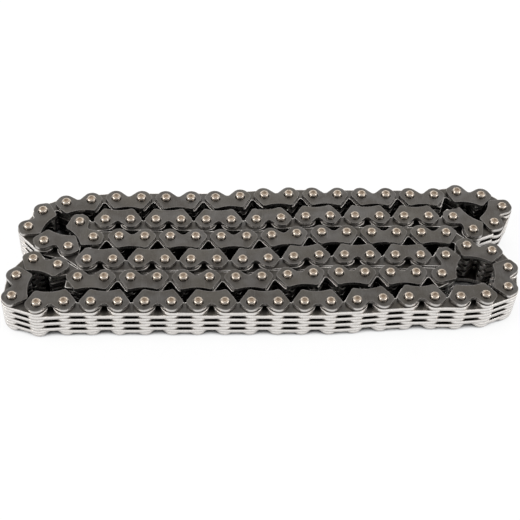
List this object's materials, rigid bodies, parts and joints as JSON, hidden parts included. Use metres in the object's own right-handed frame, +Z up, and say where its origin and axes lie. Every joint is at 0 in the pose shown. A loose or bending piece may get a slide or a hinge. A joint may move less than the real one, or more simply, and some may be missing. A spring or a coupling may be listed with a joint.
{
  "type": "silent timing chain",
  "caption": "Endless silent timing chain of toothed plates and guide plates on riveted pins, folded in an S of side-by-side strands and laid on its side.",
  "frame": {"origin": "middle of the folded chain's outline, on the surface it lies on", "axes": "+X along the strands to the right, +Y from the front strand to the back one, +Z up along the pins"},
  "size_m": [0.1284, 0.0428, 0.0112],
  "materials": {
    "guide_plates": "dark satin",
    "outer_links": "dark satin",
    "toothed_plates": "bright edges",
    "pins": "satin"
  },
  "bodies": {
    "folded_bundle": {"strand_2_guide_plates": "guide_plates", "strand_2_outer_toothed_plates": "toothed_plates", "strand_2_inner_toothed_plates": "toothed_plates", "strand_2_pins": "pins", "strand_3_guide_plates": "guide_plates", "strand_3_outer_toothed_plates": "toothed_plates", "strand_3_inner_toothed_plates": "toothed_plates", "strand_3_pins": "pins", "strand_4_guide_plates": "guide_plates", "strand_4_outer_toothed_plates": "toothed_plates", "strand_4_inner_toothed_plates": "toothed_plates", "strand_4_pins": "pins", "strand_5_guide_plates": "guide_plates", "strand_5_outer_toothed_plates": "toothed_plates", "strand_5_inner_toothed_plates": "toothed_plates", "strand_5_pins": "pins"},
    "back_inner_link_1": {"back_inner_link_1": "toothed_plates"},
    "back_outer_link_1": {"back_outer_link_1": "outer_links"},
    "back_inner_link_2": {"back_inner_link_2": "toothed_plates"},
    "back_outer_link_2": {"back_outer_link_2": "outer_links"},
    "back_inner_link_3": {"back_inner_link_3": "toothed_plates"},
    "back_outer_link_3": {"back_outer_link_3": "outer_links"},
    "back_inner_link_4": {"back_inner_link_4": "toothed_plates"},
    "back_outer_link_4": {"back_outer_link_4": "outer_links"},
    "back_inner_link_5": {"back_inner_link_5": "toothed_plates"},
    "back_outer_link_5": {"back_outer_link_5": "outer_links"},
    "back_inner_link_6": {"back_inner_link_6": "toothed_plates"},
    "back_outer_link_6": {"back_outer_link_6": "outer_links"},
    "back_inner_link_7": {"back_inner_link_7": "toothed_plates"},
    "back_outer_link_7": {"back_outer_link_7": "outer_links"},
    "back_inner_link_8": {"back_inner_link_8": "toothed_plates"},
    "back_outer_link_8": {"back_outer_link_8": "outer_links"},
    "back_inner_link_9": {"back_inner_link_9": "toothed_plates"},
    "back_outer_link_9": {"back_outer_link_9": "outer_links"},
    "back_inner_link_10": {"back_inner_link_10": "toothed_plates"},
    "back_outer_link_10": {"back_outer_link_10": "outer_links"},
    "back_inner_link_11": {"back_inner_link_11": "toothed_plates"},
    "back_outer_link_11": {"back_outer_link_11": "outer_links"},
    "front_inner_link_1": {"front_inner_link_1": "toothed_plates"},
    "front_outer_link_1": {"front_outer_link_1": "outer_links"},
    "front_inner_link_2": {"front_inner_link_2": "toothed_plates"},
    "front_outer_link_2": {"front_outer_link_2": "outer_links"},
    "front_inner_link_3": {"front_inner_link_3": "toothed_plates"},
    "front_outer_link_3": {"front_outer_link_3": "outer_links"},
    "front_inner_link_4": {"front_inner_link_4": "toothed_plates"},
    "front_outer_link_4": {"front_outer_link_4": "outer_links"},
    "front_inner_link_5": {"front_inner_link_5": "toothed_plates"},
    "front_outer_link_5": {"front_outer_link_5": "outer_links"},
    "front_inner_link_6": {"front_inner_link_6": "toothed_plates"},
    "front_outer_link_6": {"front_outer_link_6": "outer_links"},
    "front_inner_link_7": {"front_inner_link_7": "toothed_plates"},
    "front_outer_link_7": {"front_outer_link_7": "outer_links"},
    "front_inner_link_8": {"front_inner_link_8": "toothed_plates"},
    "front_outer_link_8": {"front_outer_link_8": "outer_links"},
    "front_inner_link_9": {"front_inner_link_9": "toothed_plates"},
    "front_outer_link_9": {"front_outer_link_9": "outer_links"},
    "front_inner_link_10": {"front_inner_link_10": "toothed_plates"},
    "front_outer_link_10": {"front_outer_link_10": "outer_links"},
    "front_inner_link_11": {"front_inner_link_11": "toothed_plates"},
    "front_outer_link_11": {"front_outer_link_11": "outer_links"}
  },
  "joints": [
    {"name": "back_inner_pivot_1", "type": "hinge", "parent": "folded_bundle", "child": "back_inner_link_1", "pos_m": [-0.05546, 0.00104, 0.00558], "axis": [0, 0, 1], "range_deg": [0, 15]},
    {"name": "back_outer_pivot_1", "type": "hinge", "parent": "back_inner_link_1", "child": "back_outer_link_1", "pos_m": [-0.05972, 0.00575, 0.00558], "axis": [0, 0, 1], "range_deg": [0, 15]},
    {"name": "back_inner_pivot_2", "type": "hinge", "parent": "back_outer_link_1", "child": "back_inner_link_2", "pos_m": [-0.05658, 0.01127, 0.00558], "axis": [0, 0, 1], "range_deg": [0, 15]},
    {"name": "back_outer_pivot_2", "type": "hinge", "parent": "back_inner_link_2", "child": "back_outer_link_2", "pos_m": [-0.05092, 0.01415, 0.00558], "axis": [0, 0, 1], "range_deg": [0, 15]},
    {"name": "back_inner_pivot_3", "type": "hinge", "parent": "back_outer_link_2", "child": "back_inner_link_3", "pos_m": [-0.04465, 0.01514, 0.00558], "axis": [0, 0, 1], "range_deg": [0, 15]},
    {"name": "back_outer_pivot_3", "type": "hinge", "parent": "back_inner_link_3", "child": "back_outer_link_3", "pos_m": [-0.03835, 0.01592, 0.00558], "axis": [0, 0, 1], "range_deg": [0, 15]},
    {"name": "back_inner_pivot_4", "type": "hinge", "parent": "back_outer_link_3", "child": "back_inner_link_4", "pos_m": [-0.032, 0.01592, 0.00558], "axis": [0, 0, 1], "range_deg": [0, 15]},
    {"name": "back_outer_pivot_4", "type": "hinge", "parent": "back_inner_link_4", "child": "back_outer_link_4", "pos_m": [-0.02565, 0.01592, 0.00558], "axis": [0, 0, 1], "range_deg": [0, 15]},
    {"name": "back_inner_pivot_5", "type": "hinge", "parent": "back_outer_link_4", "child": "back_inner_link_5", "pos_m": [-0.0193, 0.01592, 0.00558], "axis": [0, 0, 1], "range_deg": [0, 15]},
    {"name": "back_outer_pivot_5", "type": "hinge", "parent": "back_inner_link_5", "child": "back_outer_link_5", "pos_m": [-0.01295, 0.01609, 0.00558], "axis": [0, 0, 1], "range_deg": [0, 15]},
    {"name": "back_inner_pivot_6", "type": "hinge", "parent": "back_outer_link_5", "child": "back_inner_link_6", "pos_m": [-0.00662, 0.01662, 0.00558], "axis": [0, 0, 1], "range_deg": [0, 15]},
    {"name": "back_outer_pivot_6", "type": "hinge", "parent": "back_inner_link_6", "child": "back_outer_link_6", "pos_m": [-0.0003, 0.01721, 0.00558], "axis": [0, 0, 1], "range_deg": [0, 15]},
    {"name": "back_inner_pivot_7", "type": "hinge", "parent": "back_outer_link_6", "child": "back_inner_link_7", "pos_m": [0.00604, 0.01751, 0.00558], "axis": [0, 0, 1], "range_deg": [0, 15]},
    {"name": "back_outer_pivot_7", "type": "hinge", "parent": "back_inner_link_7", "child": "back_outer_link_7", "pos_m": [0.01239, 0.01752, 0.00558], "axis": [0, 0, 1], "range_deg": [0, 15]},
    {"name": "back_inner_pivot_8", "type": "hinge", "parent": "back_outer_link_7", "child": "back_inner_link_8", "pos_m": [0.01874, 0.01752, 0.00558], "axis": [0, 0, 1], "range_deg": [0, 15]},
    {"name": "back_outer_pivot_8", "type": "hinge", "parent": "back_inner_link_8", "child": "back_outer_link_8", "pos_m": [0.02509, 0.01752, 0.00558], "axis": [0, 0, 1], "range_deg": [0, 15]},
    {"name": "back_inner_pivot_9", "type": "hinge", "parent": "back_outer_link_8", "child": "back_inner_link_9", "pos_m": [0.03144, 0.01752, 0.00558], "axis": [0, 0, 1], "range_deg": [0, 15]},
    {"name": "back_outer_pivot_9", "type": "hinge", "parent": "back_inner_link_9", "child": "back_outer_link_9", "pos_m": [0.03779, 0.01752, 0.00558], "axis": [0, 0, 1], "range_deg": [0, 15]},
    {"name": "back_inner_pivot_10", "type": "hinge", "parent": "back_outer_link_9", "child": "back_inner_link_10", "pos_m": [0.04414, 0.01752, 0.00558], "axis": [0, 0, 1], "range_deg": [0, 15]},
    {"name": "back_outer_pivot_10", "type": "hinge", "parent": "back_inner_link_10", "child": "back_outer_link_10", "pos_m": [0.05038, 0.01873, 0.00558], "axis": [0, 0, 1], "range_deg": [0, 15]},
    {"name": "back_inner_pivot_11", "type": "hinge", "parent": "back_outer_link_10", "child": "back_inner_link_11", "pos_m": [0.05661, 0.01752, 0.00558], "axis": [0, 0, 1], "range_deg": [0, 15]},
    {"name": "back_outer_pivot_11", "type": "hinge", "parent": "back_inner_link_11", "child": "back_outer_link_11", "pos_m": [0.06149, 0.01346, 0.00558], "axis": [0, 0, 1], "range_deg": [0, 15]},
    {"name": "front_inner_pivot_1", "type": "hinge", "parent": "folded_bundle", "child": "front_inner_link_1", "pos_m": [0.05616, -0.00187, 0.00558], "axis": [0, 0, 1], "range_deg": [0, 15]},
    {"name": "front_outer_pivot_1", "type": "hinge", "parent": "front_inner_link_1", "child": "front_outer_link_1", "pos_m": [0.05927, -0.0074, 0.00558], "axis": [0, 0, 1], "range_deg": [0, 15]},
    {"name": "front_inner_pivot_2", "type": "hinge", "parent": "front_outer_link_1", "child": "front_inner_link_2", "pos_m": [0.05816, -0.01365, 0.00558], "axis": [0, 0, 1], "range_deg": [0, 15]},
    {"name": "front_outer_pivot_2", "type": "hinge", "parent": "front_inner_link_2", "child": "front_outer_link_2", "pos_m": [0.05231, -0.01613, 0.00558], "axis": [0, 0, 1], "range_deg": [0, 15]},
    {"name": "front_inner_pivot_3", "type": "hinge", "parent": "front_outer_link_2", "child": "front_inner_link_3", "pos_m": [0.04599, -0.01668, 0.00558], "axis": [0, 0, 1], "range_deg": [0, 15]},
    {"name": "front_outer_pivot_3", "type": "hinge", "parent": "front_inner_link_3", "child": "front_outer_link_3", "pos_m": [0.03964, -0.01668, 0.00558], "axis": [0, 0, 1], "range_deg": [0, 15]},
    {"name": "front_inner_pivot_4", "type": "hinge", "parent": "front_outer_link_3", "child": "front_inner_link_4", "pos_m": [0.03329, -0.01677, 0.00558], "axis": [0, 0, 1], "range_deg": [0, 15]},
    {"name": "front_outer_pivot_4", "type": "hinge", "parent": "front_inner_link_4", "child": "front_outer_link_4", "pos_m": [0.02695, -0.01724, 0.00558], "axis": [0, 0, 1], "range_deg": [0, 15]},
    {"name": "front_inner_pivot_5", "type": "hinge", "parent": "front_outer_link_4", "child": "front_inner_link_5", "pos_m": [0.02063, -0.01785, 0.00558], "axis": [0, 0, 1], "range_deg": [0, 15]},
    {"name": "front_outer_pivot_5", "type": "hinge", "parent": "front_inner_link_5", "child": "front_outer_link_5", "pos_m": [0.0143, -0.01825, 0.00558], "axis": [0, 0, 1], "range_deg": [0, 15]},
    {"name": "front_inner_pivot_6", "type": "hinge", "parent": "front_outer_link_5", "child": "front_inner_link_6", "pos_m": [0.00795, -0.01828, 0.00558], "axis": [0, 0, 1], "range_deg": [0, 15]},
    {"name": "front_outer_pivot_6", "type": "hinge", "parent": "front_inner_link_6", "child": "front_outer_link_6", "pos_m": [0.0016, -0.01828, 0.00558], "axis": [0, 0, 1], "range_deg": [0, 15]},
    {"name": "front_inner_pivot_7", "type": "hinge", "parent": "front_outer_link_6", "child": "front_inner_link_7", "pos_m": [-0.00475, -0.01828, 0.00558], "axis": [0, 0, 1], "range_deg": [0, 15]},
    {"name": "front_outer_pivot_7", "type": "hinge", "parent": "front_inner_link_7", "child": "front_outer_link_7", "pos_m": [-0.0111, -0.01828, 0.00558], "axis": [0, 0, 1], "range_deg": [0, 15]},
    {"name": "front_inner_pivot_8", "type": "hinge", "parent": "front_outer_link_7", "child": "front_inner_link_8", "pos_m": [-0.01745, -0.01828, 0.00558], "axis": [0, 0, 1], "range_deg": [0, 15]},
    {"name": "front_outer_pivot_8", "type": "hinge", "parent": "front_inner_link_8", "child": "front_outer_link_8", "pos_m": [-0.0238, -0.01828, 0.00558], "axis": [0, 0, 1], "range_deg": [0, 15]},
    {"name": "front_inner_pivot_9", "type": "hinge", "parent": "front_outer_link_8", "child": "front_inner_link_9", "pos_m": [-0.03015, -0.01828, 0.00558], "axis": [0, 0, 1], "range_deg": [0, 15]},
    {"name": "front_outer_pivot_9", "type": "hinge", "parent": "front_inner_link_9", "child": "front_outer_link_9", "pos_m": [-0.0365, -0.01828, 0.00558], "axis": [0, 0, 1], "range_deg": [0, 15]},
    {"name": "front_inner_pivot_10", "type": "hinge", "parent": "front_outer_link_9", "child": "front_inner_link_10", "pos_m": [-0.04285, -0.01828, 0.00558], "axis": [0, 0, 1], "range_deg": [0, 15]},
    {"name": "front_outer_pivot_10", "type": "hinge", "parent": "front_inner_link_10", "child": "front_outer_link_10", "pos_m": [-0.0492, -0.01828, 0.00558], "axis": [0, 0, 1], "range_deg": [0, 15]},
    {"name": "front_inner_pivot_11", "type": "hinge", "parent": "front_outer_link_10", "child": "front_inner_link_11", "pos_m": [-0.05554, -0.01873, 0.00558], "axis": [0, 0, 1], "range_deg": [0, 15]},
    {"name": "front_outer_pivot_11", "type": "hinge", "parent": "front_inner_link_11", "child": "front_outer_link_11", "pos_m": [-0.06149, -0.01652, 0.00558], "axis": [0, 0, 1], "range_deg": [0, 15]}
  ]
}
